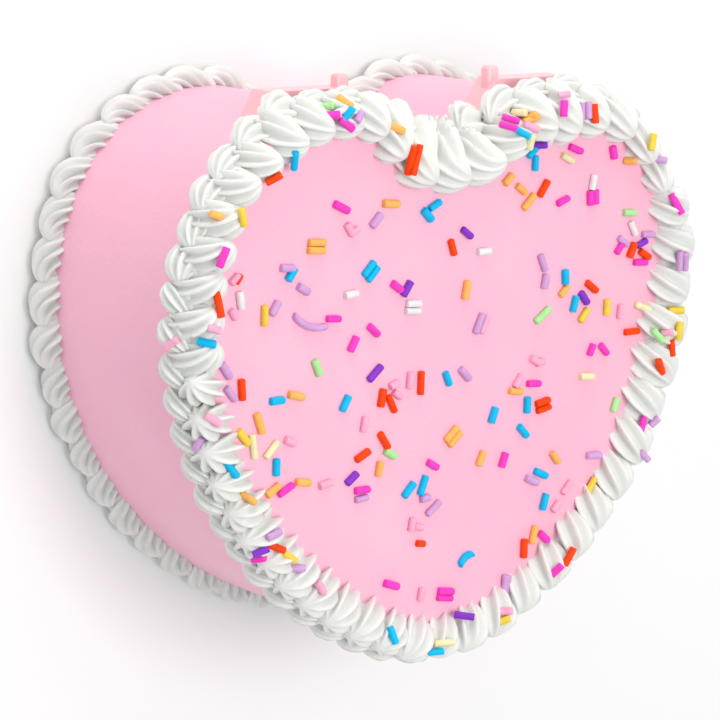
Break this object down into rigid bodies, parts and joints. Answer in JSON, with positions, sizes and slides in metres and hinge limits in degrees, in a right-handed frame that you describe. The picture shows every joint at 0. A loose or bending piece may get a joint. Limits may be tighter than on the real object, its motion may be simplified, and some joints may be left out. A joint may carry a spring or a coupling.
{
  "type": "heart-shaped keepsake box styled as a cake",
  "caption": "Shut heart-shaped box made to look like a pink cake, with piped cream borders round its face and foot and scattered sprinkles.",
  "frame": {"origin": "middle of the base, on the ground plane", "axes": "+Y from the heart's tip to its two lobes, +Z the way the decorated face looks, +X completes the right-handed frame"},
  "size_m": [0.1775, 0.1564, 0.0745],
  "materials": {
    "pink_shell": "satin",
    "piped_cream": "satin",
    "salmon_block": "satin"
  },
  "bodies": {
    "root": {"body": "pink_shell", "top_border": "piped_cream", "base_border": "piped_cream", "hinge_left": "salmon_block", "hinge_right": "salmon_block"}
  },
  "joints": []
}
